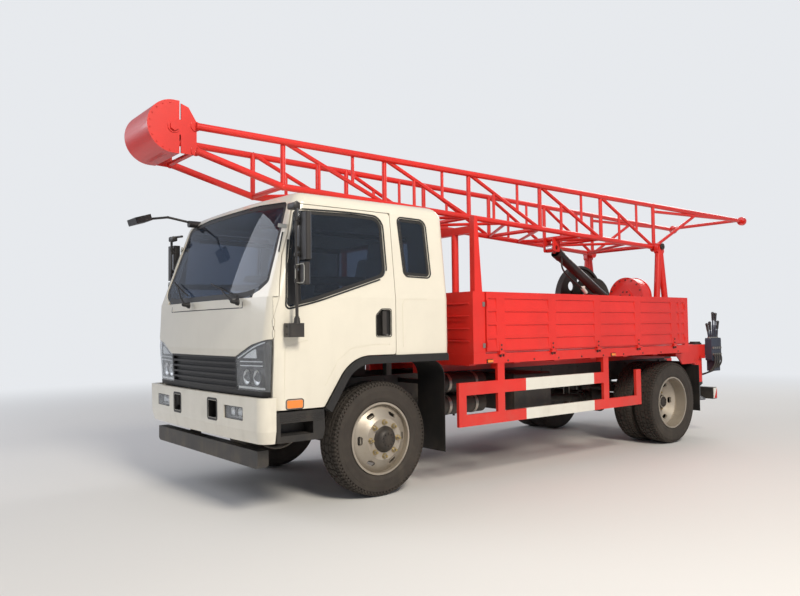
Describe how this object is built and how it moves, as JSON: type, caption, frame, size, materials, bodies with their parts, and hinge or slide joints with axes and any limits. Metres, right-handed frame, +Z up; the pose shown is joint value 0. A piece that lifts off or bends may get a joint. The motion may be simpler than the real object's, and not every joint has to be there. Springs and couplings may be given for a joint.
{
  "type": "truck-mounted drilling rig",
  "caption": "Light drop-side truck with a lattice drilling mast lying over its cab, a hydraulic ram to raise it, a hoisting winch, a rotary table and rear jacks.",
  "frame": {"origin": "on the ground, midway along the overall length and width", "axes": "+Z up, the truck faces -Y, its left side is +X"},
  "size_m": [2.6828, 8.8509, 3.217],
  "materials": {
    "white_paint": "gloss",
    "red_paint": "gloss",
    "black_paint": "satin",
    "dark_casting": "satin",
    "grey_steel": "satin",
    "wheel_paint": "satin",
    "tyre_rubber": "matte",
    "polished_rod": "polished",
    "black_plastic": "matte",
    "cab_trim": "satin",
    "seat_cloth": "woven",
    "window_glass": "clear",
    "lamp_lens": "clear"
  },
  "bodies": {
    "truck": {"cab_back_wall": "white_paint", "cab_sides": "white_paint", "cab_roof": "white_paint", "cab_front_panel": "white_paint", "bumper": "white_paint", "bed_frame": "red_paint", "bed_headboard": "red_paint", "side_guards": "red_paint", "rear_deck": "red_paint", "mast_rest": "red_paint", "mast_posts": "red_paint", "winch_frame": "red_paint", "drive_case": "red_paint", "chassis_frame": "black_paint", "axles": "black_paint", "leaf_springs": "black_paint", "tanks_and_muffler": "black_paint", "underrun_bars": "black_paint", "jack_tubes": "black_paint", "rotary_base": "black_paint", "engine_and_propshaft": "dark_casting", "grille": "black_plastic", "steps_and_mudguards": "black_plastic", "front_mirror": "black_plastic", "dashboard": "black_plastic", "control_levers": "black_plastic", "cab_floor": "cab_trim", "seats": "seat_cloth", "cab_glass": "window_glass", "lamps": "lamp_lens"},
    "steering_left": {"knuckle_left": "black_paint"},
    "steering_right": {"knuckle_right": "black_paint"},
    "tie_rod": {"tie_rod": "black_paint"},
    "wheel_front_left": {"front_wheel_left": "wheel_paint", "front_tyre_left": "tyre_rubber"},
    "wheel_front_right": {"front_wheel_right": "wheel_paint", "front_tyre_right": "tyre_rubber"},
    "wheel_rear_left": {"rear_wheels_left": "wheel_paint", "rear_tyres_left": "tyre_rubber"},
    "wheel_rear_right": {"rear_wheels_right": "wheel_paint", "rear_tyres_right": "tyre_rubber"},
    "door_left": {"door_left": "white_paint", "door_glass_left": "window_glass", "mirror_left": "black_plastic"},
    "door_right": {"door_right": "white_paint", "door_glass_right": "window_glass", "mirror_right": "black_plastic"},
    "drop_side_left": {"drop_side_left": "red_paint"},
    "drop_side_right": {"drop_side_right": "red_paint"},
    "mast": {"mast_sides": "red_paint", "mast_braces": "red_paint", "mast_crown": "red_paint"},
    "crown_sheaves": {"crown_sheaves": "dark_casting"},
    "ram_barrel": {"ram_barrel": "black_paint"},
    "ram_rod": {"ram_rod": "polished_rod"},
    "winch_drum": {"hoist_drum": "dark_casting", "drive_wheel": "dark_casting"},
    "rotary_table": {"rotary_table": "dark_casting"},
    "jack_leg_left": {"jack_leg_left": "grey_steel"},
    "jack_leg_right": {"jack_leg_right": "grey_steel"}
  },
  "joints": [
    {"name": "steer_left", "type": "hinge", "parent": "truck", "child": "steering_left", "pos_m": [0.7, -2.7265, 0.475], "axis": [0, 0, 1], "range_deg": [-35, 35]},
    {"name": "steer_right", "type": "hinge", "parent": "truck", "child": "steering_right", "pos_m": [-0.7, -2.7265, 0.475], "axis": [0, 0, 1], "range_deg": [-35, 35]},
    {"name": "tie_rod_turn", "type": "hinge", "parent": "steering_left", "child": "tie_rod", "pos_m": [0.7, -2.5365, 0.36], "axis": [0, 0, 1], "range_deg": [-36, 36]},
    {"name": "front_wheel_left_spin", "type": "hinge", "parent": "steering_left", "child": "wheel_front_left", "pos_m": [0.87, -2.7265, 0.475], "axis": [1, 0, 0], "continuous": true},
    {"name": "front_wheel_right_spin", "type": "hinge", "parent": "steering_right", "child": "wheel_front_right", "pos_m": [-0.87, -2.7265, 0.475], "axis": [1, 0, 0], "continuous": true},
    {"name": "rear_wheel_left_spin", "type": "hinge", "parent": "truck", "child": "wheel_rear_left", "pos_m": [0.855, 1.4735, 0.475], "axis": [1, 0, 0], "continuous": true},
    {"name": "rear_wheel_right_spin", "type": "hinge", "parent": "truck", "child": "wheel_rear_right", "pos_m": [-0.855, 1.4735, 0.475], "axis": [1, 0, 0], "continuous": true},
    {"name": "door_left_swing", "type": "hinge", "parent": "truck", "child": "door_left", "pos_m": [1.104, -3.7935, 1.4], "axis": [0, 0, -1], "range_deg": [0, 70]},
    {"name": "door_right_swing", "type": "hinge", "parent": "truck", "child": "door_right", "pos_m": [-1.104, -3.7935, 1.4], "axis": [0, 0, 1], "range_deg": [0, 70]},
    {"name": "drop_side_left_swing", "type": "hinge", "parent": "truck", "child": "drop_side_left", "pos_m": [1.22, -0.0865, 1.15], "axis": [0, 1, 0], "range_deg": [0, 172]},
    {"name": "drop_side_right_swing", "type": "hinge", "parent": "truck", "child": "drop_side_right", "pos_m": [-1.22, -0.0865, 1.15], "axis": [0, -1, 0], "range_deg": [0, 172]},
    {"name": "mast_raise", "type": "hinge", "parent": "truck", "child": "mast", "pos_m": [0, 2.1535, 2.405], "axis": [-1, 0, 0], "range_deg": [0, 90]},
    {"name": "crown_sheaves_spin", "type": "hinge", "parent": "mast", "child": "crown_sheaves", "pos_m": [0, -4.2135, 3.005], "axis": [1, 0, 0], "continuous": true},
    {"name": "ram_swing", "type": "hinge", "parent": "truck", "child": "ram_barrel", "pos_m": [0, 1.8935, 1.66], "axis": [-1, 0, 0], "range_deg": [0, 66.16]},
    {"name": "ram_extend", "type": "slide", "parent": "ram_barrel", "child": "ram_rod", "axis": [0, -0.8689, 0.4949], "range_m": [0, 0.8364]},
    {"name": "winch_drum_spin", "type": "hinge", "parent": "truck", "child": "winch_drum", "pos_m": [-0.3, 1.7635, 1.734], "axis": [1, 0, 0], "continuous": true},
    {"name": "rotary_table_spin", "type": "hinge", "parent": "truck", "child": "rotary_table", "pos_m": [0, 2.7335, 1], "axis": [0, 0, 1], "continuous": true},
    {"name": "jack_left_extend", "type": "slide", "parent": "truck", "child": "jack_leg_left", "axis": [0, 0, -1], "range_m": [0, 0.43]},
    {"name": "jack_right_extend", "type": "slide", "parent": "truck", "child": "jack_leg_right", "axis": [0, 0, -1], "range_m": [0, 0.43]}
  ],
  "couplings": [
    {"joint": "steer_right", "follows": "steer_left", "ratio": 1},
    {"joint": "tie_rod_turn", "follows": "steer_left", "ratio": -1},
    {"joint": "ram_swing", "follows": "mast_raise", "ratio": 0.72959},
    {"joint": "ram_extend", "follows": "mast_raise", "m_per_rad": 0.52928}
  ]
}
